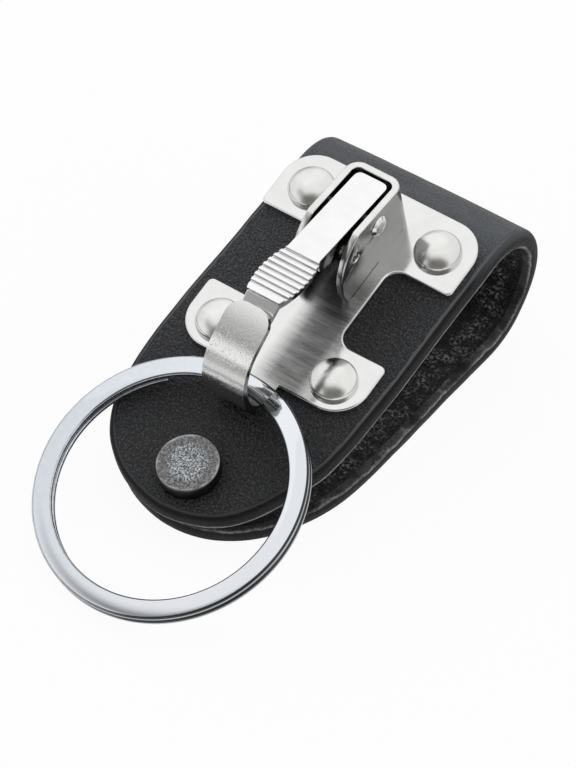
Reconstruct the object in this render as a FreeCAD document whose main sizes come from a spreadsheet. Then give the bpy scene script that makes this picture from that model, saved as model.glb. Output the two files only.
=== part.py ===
import FreeCAD, Part
import math
import os
import re
import Sketcher

# Belt key clip: a folded leather strap, shut by a snap, carries a steel hook plate with a
# sprung thumb lever that closes the hook, and a split ring hangs in the hook.
# The clip lies on the flat outside of its back panel, which is the plane Z = 0, and the front
# leans over it as a wedge. X runs across the strap, +Y towards the fold that hangs on the belt
# and +Z upwards. The origin is under the middle of the four rivets.
# The front and all that it carries are drawn square to the plate, with the plate's top face as
# their own Z = 0, and are then leaned by the wedge angle.
# Lengths are in millimetres and angles in degrees.

SIZES = {
    # Leather strap
    "leather_thickness": 2.8,
    "wedge_angle": 16.0,
    "fold_start": 15.5,
    "tongue_reach": 41.0,
    "tongue_radius": 15.5,
    "tongue_draw": 2.0,
    "tongue_side_radius": 40.0,
    "back_step": 2.6,
    # Hook plate
    "plate_thickness": 1.0,
    "plate_edge_radius": 0.3,
    "upper_ear_margin": 1.2,
    "upper_ear_top": 18.4,
    "upper_ear_bottom": 7.2,
    "lower_ear_margin": 2.3,
    "lower_ear_top": 7.0,
    "lower_ear_bottom": 17.1,
    "web_width": 13.3,
    "ear_radius": 5.2,
    "ear_corner_radius": 0.9,
    "web_fillet_radius": 2.3,
    "hook_width": 7.0,
    "hook_base": 18.15,
    "hook_base_radius": 5.0,
    "hook_rise": 1.2,
    "hook_top_radius": 6.5,
    "hook_arm_slope": 24.0,
    "hook_arm_length": 5.7,
    "hook_tip_radius": 2.6,
    # Rivets
    "upper_rivet_margin": 5.4,
    "lower_rivet_margin": 5.35,
    "rivet_row_spacing": 25.0,
    "rivet_head_radius": 3.5,
    "rivet_rim_height": 0.3,
    "rivet_shoulder_radius": 1.0,
    "rivet_crown_radius": 5.5,
    "rivet_post_radius": 1.4,
    "rivet_cap_radius": 3.2,
    "rivet_cap_rim": 0.3,
    "rivet_cap_dome": 0.7,
    "rivet_grip": 0.5,
    # Lever housing
    "housing_width": 8.8,
    "housing_wall": 1.1,
    "housing_rear": 15.6,
    "housing_rear_height": 9.15,
    "housing_rim_front": 4.3,
    "housing_rim_front_height": 11.1,
    "housing_brow_radius": 7.9,
    "housing_nose": 1.4,
    "housing_nose_height": 4.6,
    "housing_chin_height": 2.2,
    "housing_foot": 0.75,
    "housing_corner_radius": 2.2,
    "tab_start": 0.2,
    "tab_end": 6.9,
    "spring_hole_radius": 0.8,
    "spring_hole_y": 2.7,
    "spring_hole_height": 7.2,
    # Thumb lever and its pin
    "pivot_y": 8.4,
    "pivot_height": 7.6,
    "pin_radius": 0.9,
    "pin_head_radius": 1.7,
    "pin_head_height": 0.5,
    "lever_width": 5.4,
    "lever_pad_width": 7.1,
    "lever_tip_width": 5.0,
    "lever_sheet": 0.8,
    "lever_rear": 5.7,
    "lever_top": 1.45,
    "lever_slope": 11.8,
    "lever_flat_run": 17.4,
    "lever_pad_slope": 14.6,
    "lever_pad_run": 9.2,
    "lever_flare_lead": 0.5,
    "lever_tip_drop": 0.7,
    "lever_tip_run": 3.9,
    "lever_tip_fall": 1.9,
    "lever_corner_radius": 1.1,
    "flange_drop": 1.5,
    "lever_ear_drop": 2.2,
    "lever_ear_run": 2.3,
    "rib_count": 8,
    "rib_pitch": 1.12,
    "rib_groove": 0.5,
    "rib_depth": 0.3,
    # Lever spring
    "spring_wire_radius": 0.25,
    "spring_coil_radius": 1.3,
    "spring_pitch": 0.95,
    "spring_turns": 2.0,
    "spring_leg_slope": 50.0,
    "spring_leg_length": 7.0,
    "spring_seat_gap": 0.1,
    # Snap fastener
    "snap_margin": 6.9,
    "snap_lift": 1.945,
    "snap_cap_radius": 4.6,
    "snap_cap_height": 2.3,
    "snap_cap_edge": 0.35,
    "snap_stem_radius": 1.6,
    "socket_radius": 3.9,
    "socket_height": 1.3,
    "socket_floor": 0.4,
    "socket_bore_radius": 2.5,
    "stud_radius": 3.1,
    "stud_base": 0.5,
    "stud_head_radius": 1.5,
    "stud_neck_radius": 1.25,
    "stud_head_height": 1.9,
    "stud_post_radius": 0.8,
    "snap_post_radius": 3.6,
    "snap_post_flange": 0.7,
    "snap_post_recess": 0.05,
    # Split ring
    "ring_diameter": 40.0,
    "ring_wire_width": 3.0,
    "ring_wire_thickness": 0.85,
    "ring_edge_radius": 0.4,
    "ring_coil_gap": 0.44,
    "ring_rest_gap": 0.1,
    "ring_axis_y": 20.0,
    "ring_axis_height": 2.95,
    "ring_lean": 4.5,
    "ring_end_angle": 79.75,
    "ring_step_angle": 40.0,
    "ring_end_gap_angle": 13.5,
    # Clearances
    "hole_clearance": 0.1,
    "press_clearance": 0.02,
    "running_clearance": 0.05,
    "slot_clearance": 0.05,
}

doc = FreeCAD.newDocument("belt_key_clip")
sheet = doc.addObject("Spreadsheet::Sheet", "Sizes")
for row, (alias, value) in enumerate(SIZES.items(), start=1):
    sheet.set("A%d" % row, alias)
    sheet.set("B%d" % row, str(value))
    sheet.setAlias("B%d" % row, alias)
doc.recompute()

# Shared levels and places, as formulas of the sizes. The front's levels are measured from the
# plate's top face.
FRONT_INNER = "-(plate_thickness + leather_thickness)"
FRONT_OUTER = "-plate_thickness"
SIN_WEDGE = "sin(wedge_angle * 1 deg)"
COS_WEDGE = "cos(wedge_angle * 1 deg)"
SNAP_Y = "(tongue_reach - snap_margin)"
# The fold is as wide as lets the front lean until its socket stands snap_lift over the back.
FOLD_RADIUS = "((snap_lift + socket_height * %s + (fold_start + %s) * %s) / (1 + %s))" % (
    COS_WEDGE, SNAP_Y, SIN_WEDGE, COS_WEDGE)
FOLD_OUTER = "(%s + leather_thickness)" % FOLD_RADIUS
STRAP_HALF = "(tongue_radius + tongue_draw)"
STRAP_WIDTH = "(2 * %s)" % STRAP_HALF
UPPER_EAR = "(%s - upper_ear_margin)" % STRAP_HALF
LOWER_EAR = "(%s - lower_ear_margin)" % STRAP_HALF
UPPER_RIVET = "(%s - upper_rivet_margin)" % UPPER_EAR
LOWER_RIVET = "(%s - lower_rivet_margin)" % LOWER_EAR
BACK_REACH = "(tongue_reach * %s - back_step)" % COS_WEDGE
FOLD_Y = "(fold_start * %s + (%s + plate_thickness) * %s)" % (COS_WEDGE, FOLD_OUTER, SIN_WEDGE)
PLATE_HEIGHT = "(%s + (%s + plate_thickness) * %s - fold_start * %s)" % (
    FOLD_OUTER, FOLD_OUTER, COS_WEDGE, SIN_WEDGE)
SOCKET_MOUTH = "(plate_thickness + leather_thickness + socket_height)"
STUD_Y = "(%s * %s - %s * %s)" % (SOCKET_MOUTH, SIN_WEDGE, SNAP_Y, COS_WEDGE)


def expand(formula):
    """Names the sheet in front of each size that a formula uses."""
    return re.sub(r"[a-z]\w*", lambda m: "Sizes." + m.group() if m.group() in SIZES else m.group(), formula)


def number(formula):
    """The value that a formula has now."""
    return float(FreeCAD.Units.Quantity(sheet.evalExpression(expand(formula))).Value)


def sine(angle):
    return "sin(%s * 1 deg)" % angle


def cosine(angle):
    return "cos(%s * 1 deg)" % angle


def tangent(angle):
    return "tan(%s * 1 deg)" % angle


def bind(obj, name, formula):
    obj.setExpression(name, expand(formula))


def new_body(name, base=("0", "0", "0")):
    """A body with its place bound to the sizes."""
    body = doc.addObject("PartDesign::Body", name)
    body.Label = name
    for axis, formula in zip("xyz", base):
        bind(body, "Placement.Base." + axis, formula)
    return body


def lean(x, y, z):
    """A place on the front, measured from the plate's top face, as a place over the table."""
    return (x, "(%s) * %s - (%s) * %s" % (y, COS_WEDGE, z, SIN_WEDGE),
            "(%s) * %s + (%s) * %s + %s" % (y, SIN_WEDGE, z, COS_WEDGE, PLATE_HEIGHT))


def front_body(name, x="0", y="0", z="0"):
    """A body that leans with the front."""
    body = new_body(name)
    body.Placement.Rotation = FreeCAD.Rotation(FreeCAD.Vector(1, 0, 0), number("wedge_angle"))
    bind(body, "Placement.Rotation.Angle", "wedge_angle")
    for axis, formula in zip("xyz", lean(x, y, z)):
        bind(body, "Placement.Base." + axis, formula)
    return body


def front_place(y, z):
    """The placement that leans a finished shape with the front."""
    base = FreeCAD.Vector(*[number(formula) for formula in lean("0", y, z)])
    return FreeCAD.Placement(base, FreeCAD.Rotation(FreeCAD.Vector(1, 0, 0), number("wedge_angle")))


def new_sketch(body, name, role, offset=None, turn=None):
    """A sketch on one of the body's own planes, moved off it or turned right in it if asked."""
    sketch = body.newObject("Sketcher::SketchObject", name)
    plane = [feature for feature in body.Origin.OriginFeatures if feature.Role == role][0]
    sketch.AttachmentSupport = [(plane, "")]
    sketch.MapMode = "FlatFace"
    if offset:
        for axis, formula in zip("xyz", offset):
            bind(sketch, "AttachmentOffset.Base." + axis, formula)
    if turn:
        sketch.AttachmentOffset = FreeCAD.Placement(
            FreeCAD.Vector(), FreeCAD.Rotation(FreeCAD.Vector(0, 0, -1), number(turn)))
        bind(sketch, "AttachmentOffset.Rotation.Angle", turn)
    return sketch


def place_vertex(sketch, edge, vertex, point):
    """Ties one end of a sketched edge to its two formulas."""
    for kind, formula in zip(("DistanceX", "DistanceY"), point):
        index = sketch.addConstraint(Sketcher.Constraint(kind, -1, 1, edge, vertex, number(formula)))
        sketch.setExpression("Constraints[%d]" % index, expand(formula))


def arc_between(start, end, radius, turn):
    """The shorter arc between two points, turning left for +1 and right for -1 on the way, with
    its own ends in anticlockwise order."""
    chord = end - start
    reach = math.sqrt(max(radius ** 2 - (chord.Length / 2) ** 2, 0))
    left = FreeCAD.Vector(-chord.y, chord.x, 0).normalize()
    centre = (start + end) / 2 + left * reach * turn
    first, last = (start, end) if turn > 0 else (end, start)
    angles = [math.atan2(point.y - centre.y, point.x - centre.x) for point in (first, last)]
    if angles[1] < angles[0]:
        angles[1] += 2 * math.pi
    return Part.ArcOfCircle(Part.Circle(centre, FreeCAD.Vector(0, 0, 1), radius), angles[0], angles[1])


def outline(sketch, path):
    """A closed outline of lines and arcs. Each step is the point that it runs from, with the
    radius and the turn of the arc that leaves that point, or None for a line."""
    first = sketch.GeometryCount
    count = len(path)
    points = [FreeCAD.Vector(number(step[0]), number(step[1]), 0) for step in path]
    ends = []
    for i, step in enumerate(path):
        start = points[i]
        end = points[(i + 1) % count]
        if step[2] is None:
            sketch.addGeometry(Part.LineSegment(start, end), False)
            ends.append((1, 2))
        else:
            sketch.addGeometry(arc_between(start, end, number(step[2]), step[3]), False)
            ends.append((1, 2) if step[3] > 0 else (2, 1))
    for i in range(count):
        after = (i + 1) % count
        sketch.addConstraint(
            Sketcher.Constraint("Coincident", first + i, ends[i][1], first + after, ends[after][0]))
        place_vertex(sketch, first + i, ends[i][0], path[i])
        if path[i][2] is not None:
            index = sketch.addConstraint(Sketcher.Constraint("Radius", first + i, number(path[i][2])))
            sketch.setExpression("Constraints[%d]" % index, expand(path[i][2]))


def polygon(sketch, points):
    outline(sketch, [(x, y, None) for x, y in points])


def circle(sketch, x, y, radius):
    edge = sketch.addGeometry(
        Part.Circle(FreeCAD.Vector(number(x), number(y), 0), FreeCAD.Vector(0, 0, 1), number(radius)), False)
    place_vertex(sketch, edge, 3, (x, y))
    index = sketch.addConstraint(Sketcher.Constraint("Radius", edge, number(radius)))
    sketch.setExpression("Constraints[%d]" % index, expand(radius))


def pad(body, sketch, length, midplane=False, reverse=False):
    feature = body.newObject("PartDesign::Pad", sketch.Name + "_pad")
    feature.Profile = sketch
    feature.Midplane = midplane
    feature.Reversed = reverse
    bind(feature, "Length", length)
    doc.recompute()
    return feature


def pocket(body, sketch, length=None):
    """A cut to both sides of the sketch, through everything unless a whole width is given."""
    before = body.Shape.Volume
    feature = body.newObject("PartDesign::Pocket", sketch.Name + "_pocket")
    feature.Profile = sketch
    feature.Midplane = True
    if length:
        bind(feature, "Length", length)
    else:
        feature.Type = "ThroughAll"
    doc.recompute()
    if not body.Shape.Volume < before:
        raise RuntimeError("%s cuts nothing" % feature.Name)
    return feature


def revolve(body, sketch, axis="V_Axis"):
    feature = body.newObject("PartDesign::Revolution", sketch.Name + "_turned")
    feature.Profile = sketch
    feature.ReferenceAxis = (sketch, [axis])
    feature.Angle = 360
    doc.recompute()
    return feature


def round_edges(body, name, radius, along, places):
    """Rounds the straight edges that run along one axis through the given places in the
    plane across it."""
    across = [axis for axis in range(3) if axis != along]
    targets = [[number(formula) for formula in place] for place in places]
    shape = body.Tip.Shape
    picks = []
    for index, edge in enumerate(shape.Edges, start=1):
        if len(edge.Vertexes) != 2:
            continue
        a = edge.Vertexes[0].Point
        b = edge.Vertexes[1].Point
        if abs(abs(b[along] - a[along]) - edge.Length) > 1e-6:
            continue
        if any(abs(a[across[0]] - u) < 1e-4 and abs(a[across[1]] - v) < 1e-4 for u, v in targets):
            picks.append("Edge%d" % index)
    if not picks:
        raise RuntimeError("%s finds no edge" % name)
    feature = body.newObject("PartDesign::Fillet", name)
    feature.Base = (body.Tip if body.Tip != feature else feature.BaseFeature, picks)
    bind(feature, "Radius", radius)
    doc.recompute()
    return feature


def round_rim(body, name, radius):
    """Rounds the whole rim of the face that lies in the body's base plane."""
    picks = []
    for index, edge in enumerate(body.Tip.Shape.Edges, start=1):
        if all(abs(vertex.Z) < 1e-6 for vertex in edge.Vertexes):
            picks.append("Edge%d" % index)
    feature = body.newObject("PartDesign::Fillet", name)
    feature.Base = (feature.BaseFeature, picks)
    bind(feature, "Radius", radius)
    doc.recompute()
    return feature


def both_sides(points):
    """The same places on the left and on the right of the strap's middle line."""
    return [(sign + "(" + x + ")", y) for sign in ("", "-") for x, y in points]


def tongue_outline(sketch, reach, start):
    """The strap's plan: straight sides, long easing arcs and a round tongue."""
    half = STRAP_HALF
    lean = "(tongue_side_radius - tongue_radius)"
    side = "(tongue_side_radius - %s)" % half
    drop = "sqrt(%s ^ 2 - %s ^ 2)" % (lean, side)
    centre = "(tongue_radius - %s)" % reach
    touch_x = "tongue_radius * %s / %s" % (side, lean)
    touch_y = "%s - tongue_radius * %s / %s" % (centre, drop, lean)
    ease_y = "%s + %s" % (centre, drop)
    outline(sketch, [
        ("-" + touch_x, touch_y, "tongue_radius", 1),
        (touch_x, touch_y, "tongue_side_radius", 1),
        (half, ease_y, None),
        (half, start, None),
        ("-" + half, start, None),
        ("-" + half, ease_y, "tongue_side_radius", 1),
    ])


RIVETS = {
    "upper_left": ("-" + UPPER_RIVET, "rivet_row_spacing / 2"),
    "upper_right": (UPPER_RIVET, "rivet_row_spacing / 2"),
    "lower_left": ("-" + LOWER_RIVET, "-rivet_row_spacing / 2"),
    "lower_right": (LOWER_RIVET, "-rivet_row_spacing / 2"),
}


def strap_front_panel():
    """The front of the strap, flat under the plate, with holes for the rivets and the snap."""
    body = front_body("strap_front_panel", z=FRONT_INNER)
    plan = new_sketch(body, "front_plan", "XY_Plane")
    tongue_outline(plan, "tongue_reach", "fold_start")
    pad(body, plan, "leather_thickness")
    holes = new_sketch(body, "front_holes", "XY_Plane")
    for x, y in RIVETS.values():
        circle(holes, x, y, "rivet_post_radius + hole_clearance")
    circle(holes, "0", "-" + SNAP_Y, "snap_stem_radius + hole_clearance")
    pocket(body, holes)
    return body


def strap_fold():
    """The round of leather over the belt, from the leaning front down to the flat back."""
    body = new_body("strap_fold")
    side = new_sketch(body, "fold_side", "YZ_Plane")
    top_y = "%s - %%s * %s" % (FOLD_Y, SIN_WEDGE)
    top_z = "%s + %%s * %s" % (FOLD_OUTER, COS_WEDGE)
    outline(side, [
        (top_y % FOLD_OUTER, top_z % FOLD_OUTER, FOLD_OUTER, -1),
        (FOLD_Y + " + " + FOLD_OUTER, FOLD_OUTER, FOLD_OUTER, -1),
        (FOLD_Y, "0", None),
        (FOLD_Y, "leather_thickness", FOLD_RADIUS, 1),
        (FOLD_Y + " + " + FOLD_RADIUS, FOLD_OUTER, FOLD_RADIUS, 1),
        (top_y % FOLD_RADIUS, top_z % FOLD_RADIUS, None),
    ])
    pad(body, side, STRAP_WIDTH, midplane=True)
    return body


def strap_back_panel():
    """The flat back of the strap, with a stepped hole that sinks the snap's post."""
    body = new_body("strap_back_panel")
    plan = new_sketch(body, "back_plan", "XY_Plane")
    tongue_outline(plan, BACK_REACH, FOLD_Y)
    pad(body, plan, "leather_thickness")
    hole = new_sketch(body, "back_hole", "XY_Plane")
    circle(hole, "0", STUD_Y, "snap_stem_radius + hole_clearance")
    pocket(body, hole)
    sink = new_sketch(body, "back_sink", "XY_Plane")
    circle(sink, "0", STUD_Y, "snap_post_radius + hole_clearance")
    pocket(body, sink, "2 * (snap_post_flange + snap_post_recess)")
    return body


def hook_plate():
    """The steel plate: four riveted ears on a web, and a hook bent up from its lower edge."""
    body = front_body("hook_plate")
    upper = UPPER_EAR
    lower = LOWER_EAR
    web = "web_width / 2"
    right = [
        (lower, "-lower_ear_bottom"),
        (lower, "-lower_ear_top"),
        (web, "-lower_ear_top"),
        (web, "upper_ear_bottom"),
        (upper, "upper_ear_bottom"),
        (upper, "upper_ear_top"),
    ]
    left = [("-" + x, y) for x, y in reversed(right)]
    plan = new_sketch(body, "plate_plan", "XY_Plane")
    polygon(plan, right + left)
    pad(body, plan, "plate_thickness", reverse=True)
    round_edges(body, "ear_ends", "ear_radius", 2, both_sides([right[0], right[5]]))
    round_edges(body, "ear_corners", "ear_corner_radius", 2, both_sides([right[1], right[4]]))
    round_edges(body, "web_fillets", "web_fillet_radius", 2, both_sides([right[2], right[3]]))
    round_rim(body, "plate_edge", "plate_edge_radius")

    base_outer = "(hook_base_radius + plate_thickness)"
    top_outer = "(hook_top_radius + plate_thickness)"
    front = "-(hook_base + %s)" % base_outer
    centre = "-(hook_base + %s - %s)" % (base_outer, top_outer)
    low = "hook_base_radius"
    high = "(hook_base_radius + hook_rise)"
    sin_arm = sine("hook_arm_slope")
    cos_arm = cosine("hook_arm_slope")
    outer_y = "%s - %s * %s" % (centre, top_outer, sin_arm)
    outer_z = "%s + %s * %s" % (high, top_outer, cos_arm)
    inner_y = "%s - hook_top_radius * %s" % (centre, sin_arm)
    inner_z = "%s + hook_top_radius * %s" % (high, cos_arm)
    arm_y = " + hook_arm_length * " + cos_arm
    arm_z = " + hook_arm_length * " + sin_arm
    root = "-lower_ear_bottom + ear_radius"
    side = new_sketch(body, "hook_side", "YZ_Plane")
    outline(side, [
        (root, "-plate_thickness", None),
        (root, "0", None),
        ("-hook_base", "0", "hook_base_radius", -1),
        ("-(hook_base + hook_base_radius)", low, None),
        ("-(hook_base + hook_base_radius)", high, "hook_top_radius", -1),
        (inner_y, inner_z, None),
        (inner_y + arm_y, inner_z + arm_z, None),
        (outer_y + arm_y, outer_z + arm_z, None),
        (outer_y, outer_z, top_outer, 1),
        (front, high, None),
        (front, low, base_outer, 1),
        ("-hook_base", "-plate_thickness", None),
    ])
    pad(body, side, "hook_width", midplane=True)
    tip_corners(body, (outer_y + arm_y, outer_z + arm_z))

    holes = new_sketch(body, "plate_holes", "XY_Plane")
    for x, y in RIVETS.values():
        circle(holes, x, y, "rivet_post_radius + hole_clearance")
    pocket(body, holes)
    slots = new_sketch(body, "plate_slots", "XY_Plane")
    for points in tab_plans("slot_clearance"):
        polygon(slots, points)
    pocket(body, slots)
    return body


def tip_corners(body, tip):
    """Rounds the two corners of the hook's tip, whose edges lean with the arm's thickness."""
    y = number(tip[0])
    z = number(tip[1])
    half = number("hook_width / 2")
    picks = []
    for index, edge in enumerate(body.Tip.Shape.Edges, start=1):
        near = [abs(abs(v.X) - half) < 1e-4 for v in edge.Vertexes]
        top = [abs(v.Y - y) < 1e-4 and abs(v.Z - z) < 1e-4 for v in edge.Vertexes]
        if all(near) and any(top) and abs(edge.Length - number("plate_thickness")) < 1e-4:
            picks.append("Edge%d" % index)
    feature = body.newObject("PartDesign::Fillet", "hook_tip_corners")
    feature.Base = (feature.BaseFeature, picks)
    bind(feature, "Radius", "hook_tip_radius")
    doc.recompute()


def tab_plans(clearance):
    """The two tabs of the housing that stand in slots of the plate, or the slots themselves."""
    plans = []
    for sign in ("", "-"):
        outer = "%s(housing_width / 2 + %s)" % (sign, clearance)
        inner = "%s(housing_width / 2 - housing_wall - %s)" % (sign, clearance)
        front = "tab_start - " + clearance
        rear = "tab_end + " + clearance
        plans.append([(inner, front), (outer, front), (outer, rear), (inner, rear)])
    return plans


def lever_housing():
    """The bent sheet round the lever: two cheeks and a back, with tabs in the plate."""
    body = front_body("lever_housing")
    side = new_sketch(body, "housing_side", "YZ_Plane")
    outline(side, [
        ("-housing_foot", "0", None),
        ("housing_rear", "0", None),
        ("housing_rear", "housing_rear_height", None),
        ("housing_rim_front", "housing_rim_front_height", "housing_brow_radius", 1),
        ("-housing_nose", "housing_nose_height", None),
        ("-housing_nose", "housing_chin_height", None),
    ])
    pad(body, side, "housing_width", midplane=True)
    half = "housing_width / 2"
    inside = "(housing_width / 2 - housing_wall)"
    back = "housing_rear - housing_wall"
    room = new_sketch(body, "housing_room", "XY_Plane")
    polygon(room, [
        ("-" + inside, "-2 * housing_rear"),
        (inside, "-2 * housing_rear"),
        (inside, back),
        ("-" + inside, back),
    ])
    pocket(body, room)
    corners = both_sides([(half, "housing_rear")])
    round_edges(body, "housing_outer_corners", "housing_corner_radius", 2, corners)
    round_edges(body, "housing_inner_corners", "housing_corner_radius - housing_wall", 2,
                both_sides([(inside, back)]))
    tabs = new_sketch(body, "housing_tabs", "XY_Plane")
    for points in tab_plans("0"):
        polygon(tabs, points)
    pad(body, tabs, "plate_thickness - slot_clearance", reverse=True)
    holes = new_sketch(body, "housing_holes", "YZ_Plane")
    circle(holes, "pivot_y", "pivot_height", "pin_radius + press_clearance")
    circle(holes, "spring_hole_y", "spring_hole_height", "spring_hole_radius")
    pocket(body, holes)
    return body


# The lever's top line, from its rear edge to its tip, measured from the pivot
REAR = ("lever_rear", "lever_top")
PAD_START = ("(lever_rear - lever_flat_run)",
             "(lever_top + lever_flat_run * %s)" % tangent("lever_slope"))
PAD_END = ("(%s - lever_pad_run)" % PAD_START[0],
           "(%s + lever_pad_run * %s)" % (PAD_START[1], tangent("lever_pad_slope")))
STEP = (PAD_END[0], "(%s - lever_tip_drop)" % PAD_END[1])
TIP = ("(%s - lever_tip_run)" % STEP[0], "(%s - lever_tip_fall)" % STEP[1])


def under(point, drop):
    return (point[0], "%s - %s" % (point[1], drop))


def thumb_lever():
    """The thumb lever: a channel on the pin, a ribbed pad, and a tip under the hook."""
    body = front_body("thumb_lever", y="pivot_y", z="pivot_height")
    side = new_sketch(body, "lever_side", "YZ_Plane")
    polygon(side, [
        under(REAR, "lever_sheet"),
        REAR,
        PAD_START,
        PAD_END,
        STEP,
        TIP,
        under(TIP, "lever_sheet"),
        under(STEP, "lever_sheet"),
        under(PAD_START, "lever_sheet"),
    ])
    pad(body, side, "lever_pad_width", midplane=True)

    flat = "lever_width / 2"
    tip = "lever_tip_width / 2"
    flare = "(%s + lever_flare_lead)" % PAD_START[0]
    chord = "((%s - %s) / 2)" % (flare, PAD_END[0])
    bow = dome_radius(chord, "((lever_pad_width - lever_width) / 2)")
    trim = new_sketch(body, "lever_trim", "XY_Plane")
    polygon(trim, [
        ("-2 * lever_pad_width", "2 * " + TIP[0]),
        ("2 * lever_pad_width", "2 * " + TIP[0]),
        ("2 * lever_pad_width", "2 * lever_rear"),
        ("-2 * lever_pad_width", "2 * lever_rear"),
    ])
    outline(trim, [
        (tip, TIP[0], None),
        (flat, PAD_END[0], bow, 1),
        (flat, flare, None),
        (flat, "lever_rear", None),
        ("-" + flat, "lever_rear", None),
        ("-" + flat, flare, bow, 1),
        ("-" + flat, PAD_END[0], None),
        ("-" + tip, TIP[0], None),
    ])
    pocket(body, trim)
    round_edges(body, "lever_rear_corners", "lever_corner_radius", 2, both_sides([(flat, "lever_rear")]))

    cheeks = new_sketch(body, "lever_cheeks", "YZ_Plane")
    rear_foot = "lever_rear - lever_corner_radius"
    polygon(cheeks, [
        (rear_foot, "lever_top - lever_sheet / 2"),
        under(PAD_START, "lever_sheet / 2"),
        under(PAD_START, "lever_sheet - flange_drop"),
        ("-2 * lever_ear_run", "lever_top - lever_sheet - flange_drop"),
        ("-lever_ear_run", "-lever_ear_drop"),
        ("lever_ear_run", "-lever_ear_drop"),
        (rear_foot, "lever_top - lever_sheet - flange_drop"),
    ])
    pad(body, cheeks, "lever_width", midplane=True)
    channel = new_sketch(body, "lever_channel", "YZ_Plane")
    polygon(channel, [
        ("2 * lever_rear", "lever_top - lever_sheet - lever_rear * " + tangent("lever_slope")),
        under(PAD_START, "lever_sheet"),
        (PAD_START[0], "-2 * lever_ear_drop"),
        ("2 * lever_rear", "-2 * lever_ear_drop"),
    ])
    pocket(body, channel, "lever_width - 2 * lever_sheet")
    bore = new_sketch(body, "lever_bore", "YZ_Plane")
    circle(bore, "0", "0", "pin_radius + running_clearance")
    pocket(body, bore)

    pad_edge = (PAD_START[0], PAD_START[1], "0")
    grooves = new_sketch(body, "lever_grooves", "YZ_Plane", pad_edge, "lever_pad_slope")
    for rib in range(int(SIZES["rib_count"])):
        near = "-(%d * rib_pitch)" % rib
        far = "-(%d * rib_pitch + rib_groove)" % rib
        polygon(grooves, [(near, "-rib_depth"), (near, "rib_depth"), (far, "rib_depth"), (far, "-rib_depth")])
    pocket(body, grooves)
    return body


def lever_pin():
    """The pin that the lever turns on, with a spread head outside each cheek."""
    body = front_body("lever_pin", y="pivot_y", z="pivot_height")
    half = "housing_width / 2"
    end = "housing_width / 2 + pin_head_height"
    slope = "pin_head_radius - pin_head_height"
    turned = new_sketch(body, "pin_section", "XY_Plane")
    polygon(turned, [
        ("-(%s)" % end, "0"),
        (end, "0"),
        (end, slope),
        (half, "pin_head_radius"),
        (half, "pin_radius"),
        ("-" + half, "pin_radius"),
        ("-" + half, "pin_head_radius"),
        ("-(%s)" % end, slope),
    ])
    revolve(body, turned, "H_Axis")
    return body


def dome_radius(radius, height):
    return "((%s ^ 2 + %s ^ 2) / (2 * %s))" % (radius, height, height)


def rivet(place):
    """A rivet through the plate and the leather, its head a flat crown with a round shoulder."""
    x, y = RIVETS[place]
    inset = "(rivet_head_radius - rivet_shoulder_radius)"
    span = "(rivet_crown_radius - rivet_shoulder_radius)"
    rise = "sqrt(%s ^ 2 - %s ^ 2)" % (span, inset)
    touch_x = "%s + rivet_shoulder_radius * %s / %s" % (inset, inset, span)
    touch_z = "rivet_rim_height + rivet_shoulder_radius * %s / %s" % (rise, span)
    body = front_body("rivet_" + place, x, y)
    length = "-(plate_thickness + leather_thickness + rivet_grip)"
    section = new_sketch(body, "rivet_section_" + place, "XZ_Plane")
    outline(section, [
        ("0", length, None),
        ("rivet_post_radius", length, None),
        ("rivet_post_radius", "0", None),
        ("rivet_head_radius", "0", None),
        ("rivet_head_radius", "rivet_rim_height", "rivet_shoulder_radius", 1),
        (touch_x, touch_z, "rivet_crown_radius", 1),
        ("0", "rivet_rim_height - %s + rivet_crown_radius" % rise, None),
    ])
    revolve(body, section)
    return body


def rivet_cap(place):
    """The closed cap that grips a rivet's post behind the leather."""
    x, y = RIVETS[place]
    body = front_body("rivet_cap_" + place, x, y, FRONT_INNER)
    bore = "rivet_post_radius + press_clearance"
    floor = "-(rivet_grip + press_clearance)"
    section = new_sketch(body, "rivet_cap_section_" + place, "XZ_Plane")
    outline(section, [
        ("0", "-(rivet_cap_rim + rivet_cap_dome)", dome_radius("rivet_cap_radius", "rivet_cap_dome"), 1),
        ("rivet_cap_radius", "-rivet_cap_rim", None),
        ("rivet_cap_radius", "0", None),
        (bore, "0", None),
        (bore, floor, None),
        ("0", floor, None),
    ])
    revolve(body, section)
    return body


def snap_cap():
    """The snap's round cap on the front, with its stem through the leather."""
    body = front_body("snap_cap", y="-" + SNAP_Y, z=FRONT_OUTER)
    length = "-(leather_thickness + socket_floor)"
    section = new_sketch(body, "snap_cap_section", "XZ_Plane")
    outline(section, [
        ("0", length, None),
        ("snap_stem_radius", length, None),
        ("snap_stem_radius", "0", None),
        ("snap_cap_radius", "0", None),
        ("snap_cap_radius", "snap_cap_height - snap_cap_edge", "snap_cap_edge", 1),
        ("snap_cap_radius - snap_cap_edge", "snap_cap_height", None),
        ("0", "snap_cap_height", None),
    ])
    revolve(body, section)
    return body


def snap_socket():
    """The ring behind the front panel that the stud springs into."""
    body = front_body("snap_socket", y="-" + SNAP_Y, z=FRONT_INNER)
    bore = "snap_stem_radius + press_clearance"
    section = new_sketch(body, "socket_section", "XZ_Plane")
    polygon(section, [
        (bore, "0"),
        (bore, "-socket_floor"),
        ("socket_bore_radius", "-socket_floor"),
        ("socket_bore_radius", "-socket_height"),
        ("socket_radius - socket_floor", "-socket_height"),
        ("socket_radius", "-socket_floor"),
        ("socket_radius", "0"),
    ])
    revolve(body, section)
    return body


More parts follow.
